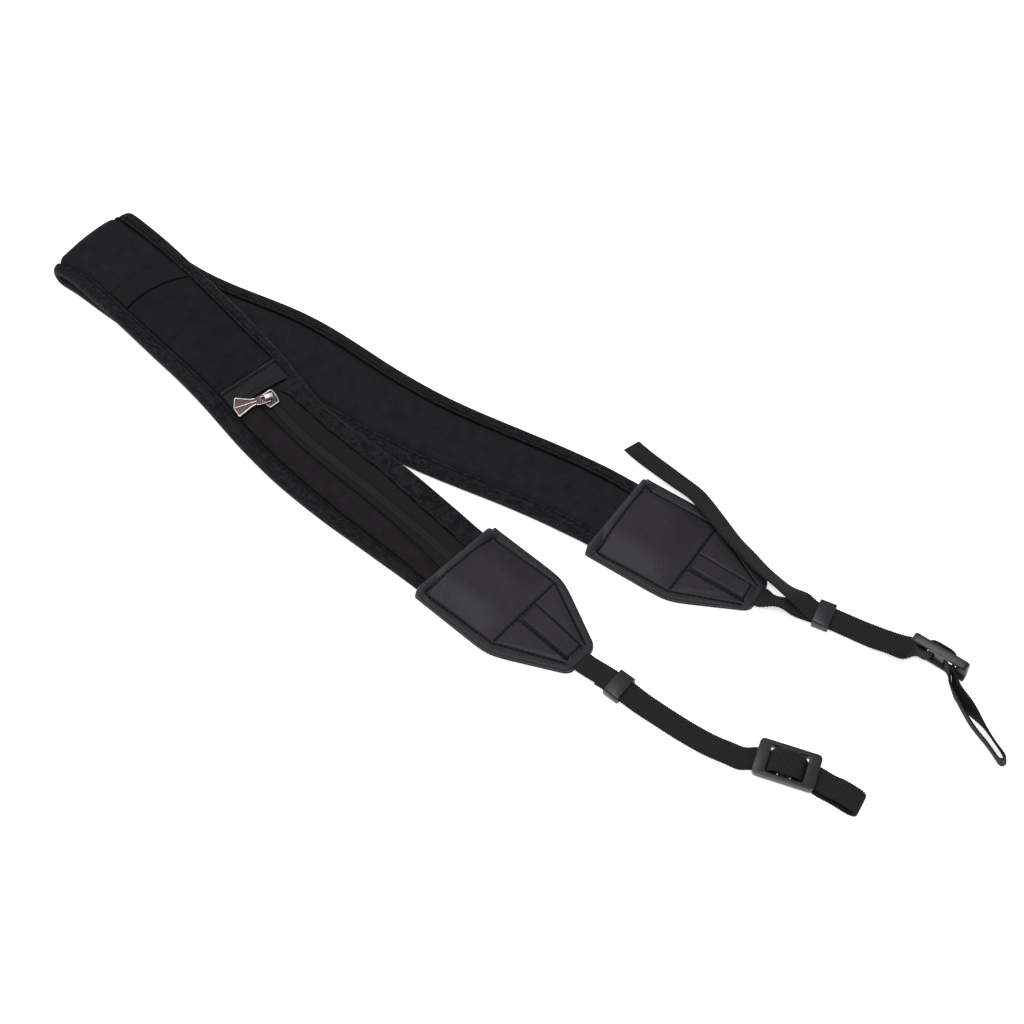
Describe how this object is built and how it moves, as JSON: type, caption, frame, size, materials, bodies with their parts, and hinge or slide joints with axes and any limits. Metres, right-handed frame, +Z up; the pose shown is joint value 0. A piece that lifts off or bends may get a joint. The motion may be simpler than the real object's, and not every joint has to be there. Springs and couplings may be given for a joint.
{
  "type": "camera neck strap",
  "caption": "Padded neck strap for a camera, folded once and laid flat, with a zip pocket, leather end patches, webbing lug loops, keepers and strap buckles.",
  "frame": {"origin": "centre of the bounding box on the table plane", "axes": "+X along the folded strap from the fold to the lug loops, +Y across it, +Z up from the table"},
  "size_m": [0.4026, 0.3038, 0.0157],
  "materials": {
    "pad_fabric": "matt fine knit over foam",
    "binding_fabric": "matt brushed stretch binding",
    "panel_fabric": "matt laminated fabric",
    "ribbon_fabric": "ribbed ribbon",
    "zip_fabric": "woven zip tape",
    "zip_nylon": "satin nylon coil",
    "band_leather": "smooth satin leather",
    "patch_leather": "fine grained satin leather",
    "webbing_fabric": "ribbed flat webbing",
    "moulded_plastic": "satin moulded plastic",
    "antique_nickel": "antique nickel plate"
  },
  "bodies": {
    "strap": {"neck_pad": "pad_fabric", "binding_left": "binding_fabric", "binding_right": "binding_fabric", "pocket_panel": "panel_fabric", "pocket_ribbon": "ribbon_fabric", "side_panel": "panel_fabric", "zip_tape_left": "zip_fabric", "zip_tape_right": "zip_fabric", "zip_coil": "zip_nylon", "zip_head_band": "band_leather", "zip_slider": "antique_nickel", "near_patch_top": "patch_leather", "near_patch_bottom": "patch_leather", "far_patch_top": "patch_leather", "far_patch_bottom": "patch_leather", "near_webbing": "webbing_fabric", "far_webbing": "webbing_fabric", "near_keeper": "moulded_plastic", "far_keeper": "moulded_plastic", "near_buckle": "moulded_plastic", "far_buckle": "moulded_plastic"},
    "pull": {"zip_pull": "antique_nickel"}
  },
  "joints": [
    {"name": "pull_hinge", "type": "hinge", "parent": "strap", "child": "pull", "pos_m": [-0.09538, 0.03974, 0.01267], "axis": [-0.2923, 0.9552, 0.0455], "range_deg": [0, 170]}
  ]
}
